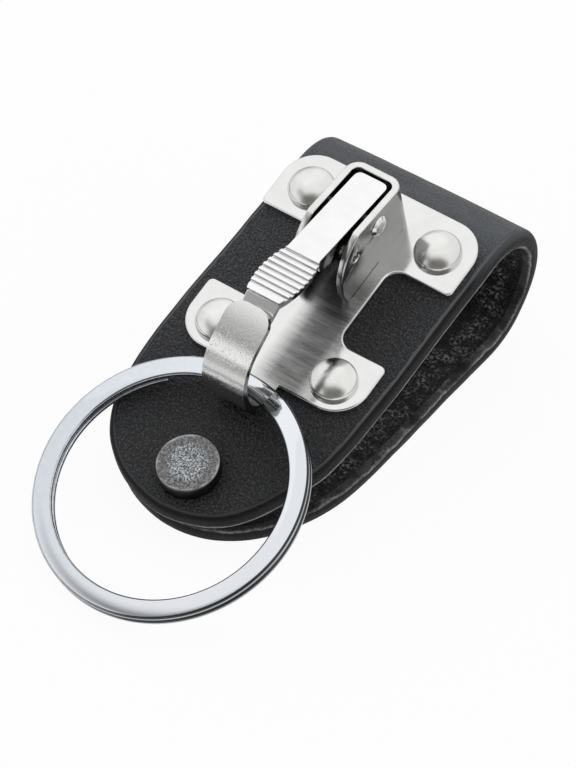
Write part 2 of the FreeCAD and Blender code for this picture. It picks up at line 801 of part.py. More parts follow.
def snap_stud():
    """The stud on the back panel, whose waisted head stands in the socket."""
    body = new_body("snap_stud", ("0", STUD_Y, "leather_thickness"))
    bore = "stud_post_radius + press_clearance"
    top = "(stud_base + stud_head_height)"
    widest = "(%s - stud_head_radius)" % top
    depth = "(stud_base + stud_head_height / 2)"
    section = new_sketch(body, "stud_section", "XZ_Plane")
    outline(section, [
        (bore, "0", None),
        ("stud_radius", "0", None),
        ("stud_radius", "stud_base / 2", None),
        ("stud_neck_radius + stud_base / 2", "stud_base", None),
        ("stud_neck_radius", "stud_base", None),
        ("stud_neck_radius", widest, None),
        ("stud_head_radius", widest, "stud_head_radius", 1),
        ("0", top, None),
        ("0", depth, None),
        (bore, depth, None),
    ])
    revolve(body, section)
    return body


def snap_post():
    """The post that holds the stud, with its flange sunk in the outside of the back panel."""
    body = new_body("snap_post", ("0", STUD_Y, "snap_post_recess"))
    seat = "leather_thickness - snap_post_recess"
    top = "(%s + stud_base + stud_head_height / 2 - press_clearance)" % seat
    section = new_sketch(body, "snap_post_section", "XZ_Plane")
    polygon(section, [
        ("0", "0"),
        ("snap_post_radius", "0"),
        ("snap_post_radius", "snap_post_flange"),
        ("snap_stem_radius", "snap_post_flange"),
        ("snap_stem_radius", seat),
        ("stud_post_radius", seat),
        ("stud_post_radius", top),
        ("0", top),
    ])
    revolve(body, section)
    return body


def tangent_arcs(start, start_way, end, end_way):
    """Two arcs that leave start one way and reach end another, smooth where they meet."""
    span = end - start
    bend = 2 * (start_way.dot(end_way) - 1)
    slope = -2 * span.dot(start_way + end_way)
    reach = (-slope - math.sqrt(slope ** 2 - 4 * bend * span.dot(span))) / (2 * bend)
    corners = (start + start_way * reach, end - end_way * reach)
    joint = (corners[0] + corners[1]) / 2
    edges = []
    for a, corner, b in ((start, corners[0], joint), (joint, corners[1], end)):
        chord_middle = (a + b) / 2
        half_turn = (corner - a).getAngle(b - corner) / 2
        middle = chord_middle + (corner - chord_middle) * (math.tan(half_turn / 2) / math.tan(half_turn))
        edges.append(Part.Arc(a, middle, b).toShape())
    return edges


def least_gap(wire, width, skip):
    """The least distance between two stretches of a wound wire that lie a turn apart, between
    its surfaces, measured on points along it."""
    points = wire.discretize(Distance=width / 2)
    apart = int(skip / (width / 2))
    gaps = [a.distanceToPoint(b) for i, a in enumerate(points) for b in points[i + apart:]]
    return min(gaps) - width


def lever_spring():
    """The torsion spring round the pin: one leg under the lever, one down to the plate."""
    radius = number("spring_coil_radius")
    wire = number("spring_wire_radius")
    start_angle = math.radians(90 - number("lever_slope"))
    end_angle = math.radians(number("spring_leg_slope") - 90 - 360 * number("spring_turns"))
    steps = int(round((start_angle - end_angle) / (math.pi / 2)))
    length = number("spring_pitch") * (start_angle - end_angle) / (2 * math.pi)

    def coil_point(share):
        angle = start_angle + (end_angle - start_angle) * share
        return FreeCAD.Vector(length * (share - 0.5), radius * math.cos(angle), radius * math.sin(angle))

    def coil_way(share):
        angle = start_angle + (end_angle - start_angle) * share
        drift = 0 if share in (0, 1) else number("spring_pitch") / (2 * math.pi)
        return FreeCAD.Vector(drift, radius * math.sin(angle), -radius * math.cos(angle)).normalize()

    leg = number("spring_leg_length")
    foot_drop = number("pivot_height - spring_wire_radius - spring_seat_gap") + coil_point(1).z
    foot = coil_point(1) + coil_way(1) * (foot_drop / -coil_way(1).z)
    edges = [Part.LineSegment(coil_point(0) - coil_way(0) * leg, coil_point(0)).toShape()]
    for step in range(steps):
        a = step / steps
        b = (step + 1) / steps
        edges += tangent_arcs(coil_point(a), coil_way(a), coil_point(b), coil_way(b))
    edges.append(Part.LineSegment(coil_point(1), foot).toShape())
    path = Part.Wire(edges)
    section = Part.Wire(Part.Circle(edges[0].Vertexes[0].Point, coil_way(0), wire).toShape())
    shell = Part.BRepOffsetAPI.MakePipeShell(path)
    shell.add(section)
    shell.build()
    shell.makeSolid()
    coils = Part.Wire(edges[1:-1])
    print("lever_spring least gap %.2f mm" % least_gap(coils, 2 * wire, math.pi * radius))
    spring = doc.addObject("Part::Feature", "lever_spring")
    spring.Label = "lever_spring"
    spring.Shape = shell.shape()
    spring.Placement = front_place("pivot_y", "pivot_height")
    return spring


def band_section(place, outward, width, thickness, radius):
    """The flat wire's section: a rectangle across the wire with rounded corners."""
    def at(across, height):
        return place + outward * across + FreeCAD.Vector(0, 0, height)

    edges = []
    far = width / 2 - radius
    tall = thickness / 2 - radius
    corners = [(far, tall), (-far, tall), (-far, -tall), (far, -tall)]
    for index, (across, height) in enumerate(corners):
        turned = math.radians(90 * index)
        points = []
        for angle in (turned, turned + math.pi / 4, turned + math.pi / 2):
            points.append(at(across + radius * math.cos(angle), height + radius * math.sin(angle)))
        edges.append(Part.Arc(points[0], points[1], points[2]).toShape())
        onward = corners[(index + 1) % 4]
        last = turned + math.pi / 2
        begin = at(onward[0] + radius * math.cos(last), onward[1] + radius * math.sin(last))
        edges.append(Part.makeLine(points[2], begin))
    return Part.Wire(edges)


def split_ring():
    """The key ring: one flat wire in two turns, with a step where it climbs on itself."""
    radius = number("(ring_diameter - ring_wire_width) / 2")
    thickness = number("ring_wire_thickness")
    rise = number("ring_wire_thickness + ring_coil_gap") / 2
    step = number("ring_step_angle")
    step_start = number("ring_end_angle")
    step_end = step_start + step
    turn = 360 - step / 2 - number("ring_end_gap_angle") / 2

    def ring_point(angle, height):
        turned = math.radians(angle)
        return FreeCAD.Vector(radius * math.cos(turned), radius * math.sin(turned), height)

    def ring_way(angle, climb=0):
        turned = math.radians(angle)
        return FreeCAD.Vector(-math.sin(turned), math.cos(turned), climb).normalize()

    def flat_turn(first, last, height):
        arcs = []
        eighth = (last - first) / 8
        for i in range(4):
            begin = first + 2 * i * eighth
            points = [ring_point(begin + k * eighth, height) for k in range(3)]
            arcs.append(Part.Arc(points[0], points[1], points[2]).toShape())
        return arcs

    middle = (step_start + step_end) / 2
    climb = 2 * 2 * rise / (radius * math.radians(step))
    lower = flat_turn(step_start - turn + step / 2, step_start, -rise)
    climbing = tangent_arcs(ring_point(step_start, -rise), ring_way(step_start), ring_point(middle, 0),
                            ring_way(middle, climb))
    climbing += tangent_arcs(ring_point(middle, 0), ring_way(middle, climb), ring_point(step_end, rise),
                             ring_way(step_end))
    upper = flat_turn(step_end, step_end + turn - step / 2, rise)
    path = Part.Wire(lower + climbing + upper)
    start = lower[0].Vertexes[0].Point
    outward = FreeCAD.Vector(start.x, start.y, 0).normalize()
    shell = Part.BRepOffsetAPI.MakePipeShell(path)
    shell.setBiNormalMode(FreeCAD.Vector(0, 0, 1))
    shell.add(band_section(start, outward, number("ring_wire_width"), thickness, number("ring_edge_radius")))
    shell.build()
    shell.makeSolid()
    print("split_ring least gap %.2f mm" % least_gap(path, thickness, math.pi * radius))
    ring = doc.addObject("Part::Feature", "split_ring")
    ring.Label = "split_ring"
    ring.Shape = shell.shape()
    near = front_place("-ring_axis_y", "ring_axis_height").Base
    half = rise + thickness / 2
    lean = FreeCAD.Rotation(FreeCAD.Vector(0, -1, 0), number("ring_lean"))
    flattest = 0
    steepest = 60
    for halving in range(50):
        slope = (flattest + steepest) / 2
        turn_down = FreeCAD.Rotation(FreeCAD.Vector(1, 0, 0), slope) * lean
        centre = near - turn_down.multVec(FreeCAD.Vector(0, radius, 0))
        upright = turn_down.multVec(FreeCAD.Vector(0, 0, 1)).z
        side = math.sqrt(1 - upright ** 2)
        lowest = centre.z - number("ring_diameter") / 2 * side - half * upright
        if lowest > number("ring_rest_gap"):
            flattest = slope
        else:
            steepest = slope
    print("split_ring slope %.2f deg" % slope)
    ring.Placement = FreeCAD.Placement(centre, turn_down)
    return ring


pieces = [
    strap_front_panel(),
    strap_fold(),
    strap_back_panel(),
    hook_plate(),
    lever_housing(),
    thumb_lever(),
    lever_pin(),
    lever_spring(),
    snap_cap(),
    snap_socket(),
    snap_stud(),
    snap_post(),
    split_ring(),
]
for place in RIVETS:
    pieces.append(rivet(place))
    pieces.append(rivet_cap(place))
doc.recompute()

for obj in doc.Objects:
    if "Invalid" in obj.State or "Error" in obj.State:
        raise RuntimeError("%s failed: %s" % (obj.Name, obj.State))
for piece in pieces:
    if piece.Shape.isNull() or not piece.Shape.isValid() or len(piece.Shape.Solids) != 1:
        raise RuntimeError("%s is not one sound solid" % piece.Label)

os.makedirs("parts", exist_ok=True)
for piece in pieces:
    piece.Shape.exportStep("parts/%s.step" % piece.Label)
    box = piece.Shape.BoundBox
    print("%s %.1f mm3, x %.2f to %.2f, y %.2f to %.2f, z %.2f to %.2f" % (
        piece.Label, piece.Shape.Volume, box.XMin, box.XMax, box.YMin, box.YMax, box.ZMin, box.ZMax))
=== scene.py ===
import math

import bmesh
import bpy
import numpy as np
from mathutils import Matrix, Vector, noise


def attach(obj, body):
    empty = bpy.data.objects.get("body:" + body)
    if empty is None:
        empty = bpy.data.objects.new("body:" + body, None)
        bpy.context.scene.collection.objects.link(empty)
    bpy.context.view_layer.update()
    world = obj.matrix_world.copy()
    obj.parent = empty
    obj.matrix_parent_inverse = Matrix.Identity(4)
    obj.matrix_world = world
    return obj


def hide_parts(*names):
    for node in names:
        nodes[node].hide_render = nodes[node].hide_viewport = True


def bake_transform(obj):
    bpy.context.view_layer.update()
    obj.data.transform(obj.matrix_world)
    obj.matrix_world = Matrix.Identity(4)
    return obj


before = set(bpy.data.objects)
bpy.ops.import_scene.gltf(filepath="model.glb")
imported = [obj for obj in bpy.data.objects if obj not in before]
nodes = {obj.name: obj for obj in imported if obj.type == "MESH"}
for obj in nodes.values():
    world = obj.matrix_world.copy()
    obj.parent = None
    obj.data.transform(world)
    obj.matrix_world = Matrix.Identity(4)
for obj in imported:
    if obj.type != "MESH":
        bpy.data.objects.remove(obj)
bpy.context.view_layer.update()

# Looks of the belt key clip: the folded leather strap as detailed meshes, finishes for the metal
# pieces, soft studio light and the camera. Sizes are in millimetres until they are written to a
# mesh, which is in metres.
MM = 0.001
scene = bpy.context.scene

# The strap's section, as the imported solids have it. The front leans by the wedge and has a frame
# of its own, whose origin is on the plate's top face in the middle of the strap.
THICK = 2.8
WEDGE = math.radians(16.0)
SIN_W, COS_W = math.sin(WEDGE), math.cos(WEDGE)
FRONT_ORIGIN = (0.0, 0.0, 19.047)
FRONT_INNER = -3.8              # the front panel's suede, in the front's frame
FOLD_IN = 8.6                   # inner radius of the fold
FOLD_CENTRE = (18.318, 11.4)    # y and z of the fold's middle
FRONT_SEAM, BACK_SEAM = 15.5, FOLD_CENTRE[0]
FRONT_TURN, BACK_TURN = math.pi / 2 + WEDGE, -math.pi / 2
FOLD_LENGTH = (FRONT_TURN - BACK_TURN) * (FOLD_IN + THICK / 2)

# Hand-cut edge of the front panel, from the left of the fold round the tongue to the right.
FRONT_EDGE = [
    (-16.35, 15.5), (-16.75, 6.4), (-17.2, -2.3), (-17.65, -11.0), (-17.75, -18.0),
    (-17.35, -24.5), (-16.0, -30.6), (-13.2, -35.2), (-8.2, -39.1), (-1.5, -41.0),
    (4.2, -40.2), (8.6, -37.9), (11.9, -33.9), (14.2, -29.2), (15.9, -24.9),
    (16.75, -20.0), (17.2, -13.0), (17.5, -6.0), (17.6, 3.0), (17.75, 10.0), (17.9, 15.5),
]
# Edge of the back panel, in the same order.
BACK_EDGE = [
    (-16.9, 18.318), (-17.3, 6.0), (-17.5, -6.0), (-17.5, -14.0), (-17.1, -20.5),
    (-15.9, -26.0), (-13.0, -31.0), (-8.0, -35.0), (-1.5, -36.8), (4.2, -36.1),
    (8.6, -33.7), (12.1, -29.9), (14.7, -25.2), (16.3, -20.4), (17.2, -14.0),
    (17.5, -6.0), (17.6, 6.0), (17.9, 18.318),
]
# The fold is drawn in towards its left end: by this share, growing from one x to the other, and
# fading at this rate towards both seams.
DRAWN_IN, DRAWN_FROM, DRAWN_TO, DRAWN_POWER = 0.075, 6.0, -17.0, 1.3
DRAWN_FADE = 2.0

# How finely the strap is drawn: points across a face, along a panel, round the fold, and between
# two points of an outline.
COLUMNS = 40
STATIONS = 110
FOLD_STEPS = 72
CURVE_STEPS = 24

# The cut edge: both corners are burnished round, and the wall between them swells a little.
LOW_ROUND, LOW_STEPS = 0.45, 5
TOP_ROUND, TOP_STEPS = 1.05, 7
WALL_SWELL = 0.1
ROUGH_DEPTH, ROUGH_SIZE, ROUGH_RISE = 0.09, 5.0, 3.0
LEFT_LAYER = 40.0               # layer of noise for the left edge
# Swells of the faces: height, size and layer of noise. The suede swells more than the grain.
SWELLS = ((0.05, 9.0, 3.0), (0.025, 3.5, 7.0))
SUEDE_SWELL = 2.0
SWELL_FADE = 8.0                # how fast the swell grows from an edge
SUEDE_LAYER, GRAIN_LAYER = 1, 2
GRAIN, SUEDE, EDGE = 0, 1, 2    # materials of the strap
TIP_WELD = 2e-6                 # in metres
SHARP_ANGLE = math.radians(50)


def smooth_line(points, count):
    """Points evenly spaced along a smooth curve through the given ones."""
    dense = []
    ends = [points[0]] + list(points) + [points[-1]]
    for i in range(1, len(ends) - 2):
        p0, p1, p2, p3 = (np.array(ends[i + k], float) for k in (-1, 0, 1, 2))
        for t in np.linspace(0, 1, CURVE_STEPS, endpoint=False):
            dense.append(0.5 * (2 * p1 + (p2 - p0) * t + (2 * p0 - 5 * p1 + 4 * p2 - p3) * t ** 2
                                + (3 * p1 - p0 - 3 * p2 + p3) * t ** 3))
    dense.append(np.array(points[-1], float))
    dense = np.array(dense)
    steps = np.concatenate([[0], np.cumsum(np.linalg.norm(np.diff(dense, axis=0), axis=1))])
    at = np.linspace(0, steps[-1], count)
    return np.stack([np.interp(at, steps, dense[:, k]) for k in (0, 1)], axis=1)


def split_outline(edge, seam):
    """The left and right halves of an outline, station by station from the seam to the tip."""
    line = smooth_line(edge, 2 * STATIONS + 1)
    tip = int(np.argmin(line[:, 1]))
    left = smooth_line([tuple(p) for p in line[:tip + 1]], STATIONS + 1)
    right = smooth_line([tuple(p) for p in line[tip:][::-1]], STATIONS + 1)
    left[0, 1] = right[0, 1] = seam
    return left, right


def inward_ways(left, right):
    """The ways in from both halves of an outline, which meet at the tip."""
    ways = []
    for line, sign in ((left, -1), (right, 1)):
        along = np.gradient(line, axis=0)
        normals = np.stack([along[:, 1], -along[:, 0]], axis=1) * sign
        ways.append(normals / np.linalg.norm(normals, axis=1)[:, None])
        ways[-1][-1] = (0, 1)
    return ways


def edge_profile():
    """The cut edge, from the suede to the grain: how far in from the outline, and how high."""
    points = []
    for k in range(LOW_STEPS + 1):
        a = math.pi / 2 * k / LOW_STEPS
        points.append((LOW_ROUND * (1 - math.sin(a)), LOW_ROUND * (1 - math.cos(a))))
    for share in (0.25, 0.5, 0.75):
        points.append((-WALL_SWELL * math.sin(math.pi * share),
                       LOW_ROUND + (THICK - LOW_ROUND - TOP_ROUND) * share))
    for k in range(TOP_STEPS + 1):
        a = math.pi / 2 * k / TOP_STEPS
        points.append((TOP_ROUND * (1 - math.cos(a)), THICK - TOP_ROUND * (1 - math.sin(a))))
    return points


PROFILE = edge_profile()


def front_point(x, v, z):
    """A place of the front's own frame, in the part."""
    return (x, v * COS_W - z * SIN_W, v * SIN_W + z * COS_W + FRONT_ORIGIN[2])


def front_place(x, v, height):
    return front_point(x, v, FRONT_INNER + height)


def back_place(x, v, height):
    return (x, v, THICK - height)


def fold_place(x, s, height):
    """The round of the fold. s runs from 0 at the front's seam to -FOLD_LENGTH at the back's."""
    turn = FRONT_TURN + (FRONT_TURN - BACK_TURN) * s / FOLD_LENGTH
    radius = FOLD_IN + height
    share = min(1.0, max(0.0, (DRAWN_FROM - x) / (DRAWN_FROM - DRAWN_TO)))
    reach = math.cos(turn)
    if reach > 0:
        reach *= 1 - DRAWN_IN * share ** DRAWN_POWER * min(1.0, reach * DRAWN_FADE)
    return (x, FOLD_CENTRE[0] + radius * reach, FOLD_CENTRE[1] + radius * math.sin(turn))


def wobble(x, y, z, size):
    """Smooth unevenness between about -1 and 1, as large as size in millimetres."""
    return noise.noise(Vector((x / size, y / size, z / size)))


def swell(x, s, k, layer):
    """How far a face of the leather swells from flat. It fades towards the edges."""
    fade = min(1.0, SWELL_FADE * k * (COLUMNS - k) / COLUMNS ** 2)
    return fade * sum(high * wobble(x, s, deep * layer, size) for high, size, deep in SWELLS)


def edge_rough(x, s, height, layer=0.0):
    """How far the cut edge strays from its profile."""
    return ROUGH_DEPTH * wobble(x, s, height * ROUGH_RISE + layer, ROUGH_SIZE)


def strap_rings(left, right, ways, along, place):
    """Rings of points round the strap, one at each station, and the same points on the flat strap:
    across it, along it and up from the suede. left and right are the outline's stations and ways
    the ways in from them. along and place carry the outline's plane to the strap and the part."""
    rings, coords = [], []
    for a, b, in_a, in_b in zip(left, right, *ways):
        points = []
        low_a, low_b = a + in_a * LOW_ROUND, b + in_b * LOW_ROUND
        for k in range(1, COLUMNS):
            x, v = low_a + (low_b - low_a) * k / COLUMNS
            points.append((x, v, -SUEDE_SWELL * swell(x, along(v), k, SUEDE_LAYER)))
        for inset, height in PROFILE:
            rough = edge_rough(b[0], along(b[1]), height)
            points.append((*(b + in_b * (inset + rough)), height))
        top_a, top_b = a + in_a * TOP_ROUND, b + in_b * TOP_ROUND
        for k in range(COLUMNS - 1, 0, -1):
            x, v = top_a + (top_b - top_a) * k / COLUMNS
            points.append((x, v, THICK + swell(x, along(v), k, GRAIN_LAYER)))
        for inset, height in reversed(PROFILE):
            rough = edge_rough(a[0], along(a[1]), height, LEFT_LAYER)
            points.append((*(a + in_a * (inset + rough)), height))
        rings.append([place(*p) for p in points])
        coords.append([(x, along(v), height) for x, v, height in points])
    return rings, coords


def strap_mesh(name, rings, coords, closed_tip):
    """A closed mesh through the rings, capped at its cut ends, with the places on the flat strap
    kept as an attribute so that the grain bends with the strap."""
    per = len(rings[0])
    verts = [tuple(c * MM for c in p) for ring in rings for p in ring]
    faces = []
    for i in range(len(rings) - 1):
        for k in range(per):
            n = (k + 1) % per
            faces.append((i * per + k, i * per + n, (i + 1) * per + n, (i + 1) * per + k))
    caps = [tuple(range(per - 1, -1, -1))]
    if not closed_tip:
        last = (len(rings) - 1) * per
        caps.append(tuple(range(last, last + per)))
    mesh = bpy.data.meshes.new(name)
    mesh.from_pydata(verts, [], faces + caps)
    attribute = mesh.attributes.new("strap", "FLOAT_VECTOR", "POINT")
    flat = np.array([p for ring in coords for p in ring], np.float32)
    attribute.data.foreach_set("vector", flat.ravel())
    for material in LEATHER:
        mesh.materials.append(material)
    # Round a ring lie the suede, the right edge, the grain and the left edge.
    suede_end = COLUMNS - 2
    edge_end = suede_end + len(PROFILE)
    grain_end = edge_end + COLUMNS
    for face in mesh.polygons:
        k = face.index % per
        if face.index >= len(faces) or k < suede_end:
            face.material_index = SUEDE
        else:
            face.material_index = GRAIN if edge_end <= k < grain_end else EDGE
    work = bmesh.new()
    work.from_mesh(mesh)
    if closed_tip:
        bmesh.ops.remove_doubles(work, verts=work.verts, dist=TIP_WELD)
    bmesh.ops.recalc_face_normals(work, faces=work.faces)
    work.to_mesh(mesh)
    work.free()
    mesh.shade_smooth()
    mesh.set_sharp_from_angle(angle=SHARP_ANGLE)
    piece = bpy.data.objects.new(name, mesh)
    scene.collection.objects.link(piece)
    return piece


def grey(value):
    return (value, value, value)


class Nodes:
    """Short ways to add nodes to a tree. They take numbers, colours and other nodes' outputs, and
    give the new node's output."""

    def __init__(self, tree):
        self.tree = tree

    def feed(self, socket, value):
        if isinstance(value, bpy.types.NodeSocket):
            self.tree.links.new(value, socket)
        elif socket.type == "RGBA":
            socket.default_value = (*value, 1)
        else:
            socket.default_value = value

    def add(self, kind, inputs=None, **settings):
        made = self.tree.nodes.new(kind)
        for key, value in settings.items():
            setattr(made, key, value)
        for key, value in (inputs or {}).items():
            self.feed(made.inputs[key], value)
        return made

    def calculate(self, operation, first, second=0.0):
        made = self.add("ShaderNodeMath", {0: first, 1: second}, operation=operation)
        return made.outputs[0]

    def plus(self, first, second):
        return self.calculate("ADD", first, second)

    def less(self, first, second):
        return self.calculate("SUBTRACT", first, second)

    def most(self, first, second):
        return self.calculate("MAXIMUM", first, second)

    def size_of(self, value):
        return self.calculate("ABSOLUTE", value)

    def times(self, first, *others):
        for other in others:
            first = self.calculate("MULTIPLY", first, other)
        return first

    def vector(self, operation, first, second, output="Value"):
        made = self.add("ShaderNodeVectorMath", {0: first, 1: second}, operation=operation)
        return made.outputs[output]

    def split(self, vector):
        """The parts of a vector: X, Y and Z."""
        return self.add("ShaderNodeSeparateXYZ", {0: vector}).outputs

    def spread(self, source, low, high, to_low=0.0, to_high=1.0):
        """A value carried from low ... high to to_low ... to_high, and held beyond them."""
        return self.add("ShaderNodeMapRange", {
            "Value": source, "From Min": low, "From Max": high, "To Min": to_low,
            "To Max": to_high}).outputs["Result"]

    def ramp(self, source, stops):
        """Colours, or greys given as numbers, at places along a value."""
        made = self.add("ShaderNodeValToRGB", {"Fac": source})
        elements = made.color_ramp.elements
        while len(elements) < len(stops):
            elements.new(0.5)
        for element, (place, colour) in zip(elements, stops):
            element.position = place
            element.color = (*(colour if isinstance(colour, tuple) else grey(colour)), 1)
        return made.outputs["Color"]

    def mixed(self, share, first, second):
        """first where share is 0, second where it is 1."""
        colour_a, colour_b, result = 6, 7, 2    # the node's sockets for colours
        return self.add("ShaderNodeMix", {"Factor": share, colour_a: first, colour_b: second},
                        data_type="RGBA").outputs[result]

    def noise_of(self, vector, scale, detail, roughness):
        return self.add("ShaderNodeTexNoise", {
            "Vector": vector, "Scale": scale, "Detail": detail,
            "Roughness": roughness}).outputs["Fac"]

    def cells_of(self, vector, scale, feature="F1"):
        return self.add("ShaderNodeTexVoronoi", {"Vector": vector, "Scale": scale},
                        feature=feature).outputs["Distance"]


class Finish(Nodes):
    """A material and its shader."""

    def __init__(self, name):
        self.material = bpy.data.materials.new(name)
        self.material.use_nodes = True
        super().__init__(self.material.node_tree)
        self.shader = self.tree.nodes["Principled BSDF"]

    def give(self, **values):
        """Sets or links the shader's inputs, whose names have spaces for underscores."""
        for key, value in values.items():
            self.feed(self.shader.inputs[key.replace("_", " ")], value)

    def strap_place(self):
        """Places on the flat strap: across it, along it from the front's seam, and up."""
        return self.add("ShaderNodeAttribute", attribute_name="strap").outputs["Vector"]

    def own_place(self, stretch=(1.0, 1.0, 1.0)):
        """Places on the piece in millimetres, drawn out by stretch."""
        made = self.add("ShaderNodeTexCoord")
        return self.vector("MULTIPLY", made.outputs["Object"], tuple(s / MM for s in stretch),
                           "Vector")

    def level(self, place, axis):
        """How far a place lies along an axis from the front's origin, in millimetres."""
        offset = sum(a * b for a, b in zip(axis, FRONT_ORIGIN))
        return self.less(self.vector("DOT_PRODUCT", place, axis), offset)

    def facing(self, axis):
        """How squarely the piece's own surface faces along an axis of the piece."""
        made = self.add("ShaderNodeTexCoord")
        return self.vector("DOT_PRODUCT", made.outputs["Normal"], axis)

    def bump(self, heights):
        """Bumps in a chain: (height, strength, distance in millimetres) each."""
        inputs = {}
        for height, strength, distance in heights:
            inputs.update({"Height": height, "Strength": strength, "Distance": distance * MM})
            inputs["Normal"] = self.add("ShaderNodeBump", inputs).outputs["Normal"]
        return inputs["Normal"]


# Nearly all of a noise lies between these values.
MOST = (0.3, 0.7)

# Leather: colours, and places in millimetres. Places across are from the strap's middle and heights
# from the suede. Places along are from the front's seam, above 0 towards the tongue and below it
# round the fold. A pair gives where a change begins and where it is full.
DARK_LEATHER = (0.012, 0.0127, 0.0146)
PALE_LEATHER = (0.037, 0.04, 0.046)
FOLD_HIGHLIGHT = (0.085, 0.094, 0.105)
GRAIN_SHADE = (0.002, 0.002, 0.0025)
GLINT = (0.14, 0.147, 0.16)
TUFT = (0.34, 0.34, 0.345)
BURNISHED = (0.012, 0.012, 0.0135)
RUBBED = (0.36, 0.36, 0.365)
WORN_LINE_AND_HIGHLIGHT = (0.15, 0.154, 0.165)
FOLD_BEVEL_HIGHLIGHT = (0.075, 0.083, 0.093)
CREASE_STRETCH = (0.55, 1.5, 1.0)
PALER_LEFT, PALER_RIGHT = (8.0, -14.0), (11.0, 15.0)
TONGUE, UPPER_HALF = (20.0, 42.0), (34.0, 12.0)
FOLD_FADE = (0.5, 8.0)
TUFT_LINE, TUFT_FADE = 13.6, (0.4, 2.6)
FRONT_PART = (-6.0, 0.0)
BEND_FRONT, BEND_BACK = (5.0, -1.0), (-14.0, -8.0)
BEVEL_HEIGHT, LINE_FOOT, LINE_FADE = (1.7, 2.4), 2.3, (28.0, 46.0)
# Shares of the rubbed corner by height, on the front and elsewhere, and of the pale line, partly
# wear and partly painted highlight, from its foot to the grain.
RUBBED_WIDE = [(0.1, 0.5), (0.2, 1.0), (0.66, 1.0), (0.84, 0.0)]
RUBBED_NARROW = [(0.06, 0.3), (0.14, 0.9), (0.34, 0.9), (0.46, 0.0)]
LINE_SHARES = [(0.62, 0.0), (0.82, 0.8), (0.95, 0.8), (1.0, 0.1)]


def grain_leather():
    """Black leather with a fine pebble grain, small creases and a soft sheen. The left half is
    paler than the tongue and the right, and the fold is stretched smooth and carries a painted
    bluish highlight."""
    skin = Finish("leather_grain")
    place = skin.strap_place()
    across, down, _ = skin.split(place)
    pebble = skin.cells_of(place, 2.8, "SMOOTH_F1")
    fine = skin.noise_of(place, 3.2, 2.0, 0.5)
    broad = skin.noise_of(place, 0.16, 3.0, 0.5)
    drawn_out = skin.vector("MULTIPLY", place, CREASE_STRETCH, "Vector")
    crease = skin.noise_of(drawn_out, 0.8, 3.0, 0.6)
    # Where it is paler, and the fold, which is stretched smooth and carries a painted bluish
    # highlight.
    uneven = skin.plus(across, skin.spread(broad, *MOST, -5.0, 5.0))
    left = skin.times(skin.spread(uneven, *PALER_LEFT), skin.spread(down, *TONGUE, 1.0, 0.15))
    right = skin.times(skin.spread(across, *PALER_RIGHT, 0.0, 0.5),
                       skin.spread(down, *UPPER_HALF))
    bend = skin.plus(down, skin.spread(broad, *MOST, 2.5, 5.5))
    fold = skin.spread(skin.size_of(bend), *FOLD_FADE, 1.0, 0.0)
    plain = skin.mixed(skin.most(left, right), DARK_LEATHER, PALE_LEATHER)
    # Painted bluish highlight along the fold.
    colour = skin.mixed(fold, plain, FOLD_HIGHLIGHT)
    # Painted shade and painted glints of the grain, fainter on the fold.
    clear = skin.spread(fold, 0.0, 1.0, 1.0, 0.4)
    grain_shade = skin.times(skin.spread(fine, 0.56, 0.4, 0.0, 0.95), clear)
    glints = skin.times(skin.spread(fine, 0.52, 0.7, 0.0, 0.42), clear)
    colour = skin.mixed(glints, skin.mixed(grain_shade, colour, GRAIN_SHADE), GLINT)
    flat = skin.spread(fold, 0.0, 1.0, 1.0, 0.25)
    heights = [(skin.times(field, flat), 0.8, depth)
               for field, depth in ((crease, 0.5), (pebble, 0.2), (fine, 0.2))]
    skin.give(Base_Color=colour, Roughness=skin.spread(fine, *MOST, 0.44, 0.6),
              Normal=skin.bump(heights), Specular_IOR_Level=0.4, Sheen_Weight=0.05,
              Sheen_Roughness=0.4, Sheen_Tint=(0.8, 0.86, 1.0))
    return skin.material


def suede_leather():
    """The rough inside of the leather: dark fibres, with pale tufts in a ragged line a little way
    in from the cut edge."""
    skin = Finish("leather_suede")
    place = skin.strap_place()
    fibre = skin.noise_of(place, 1.7, 6.0, 0.75)
    clump = skin.noise_of(place, 0.4, 4.0, 0.65)
    speck = skin.noise_of(place, 2.0, 3.0, 0.65)
    drift = skin.spread(skin.noise_of(place, 0.12, 2.0, 0.5), *MOST, -1.6, 1.6)
    across = skin.plus(skin.size_of(skin.split(place)["X"]), drift)
    line = skin.spread(skin.size_of(skin.less(across, TUFT_LINE)), *TUFT_FADE, 1.0, 0.12)
    tufts = skin.times(line, skin.spread(speck, 0.48, 0.6),
                       skin.spread(clump, 0.42, 0.56, 0.05, 1.0))
    colour = skin.ramp(fibre, [(0.36, 0.003), (0.52, (0.015, 0.0155, 0.017)),
                               (0.75, (0.07, 0.072, 0.077))])
    skin.give(Base_Color=skin.mixed(tufts, colour, TUFT), Roughness=0.95,
              Normal=skin.bump([(clump, 0.6, 0.8), (fibre, 0.8, 0.4)]),
              Specular_IOR_Level=0.2, Sheen_Weight=0.12)
    return skin.material


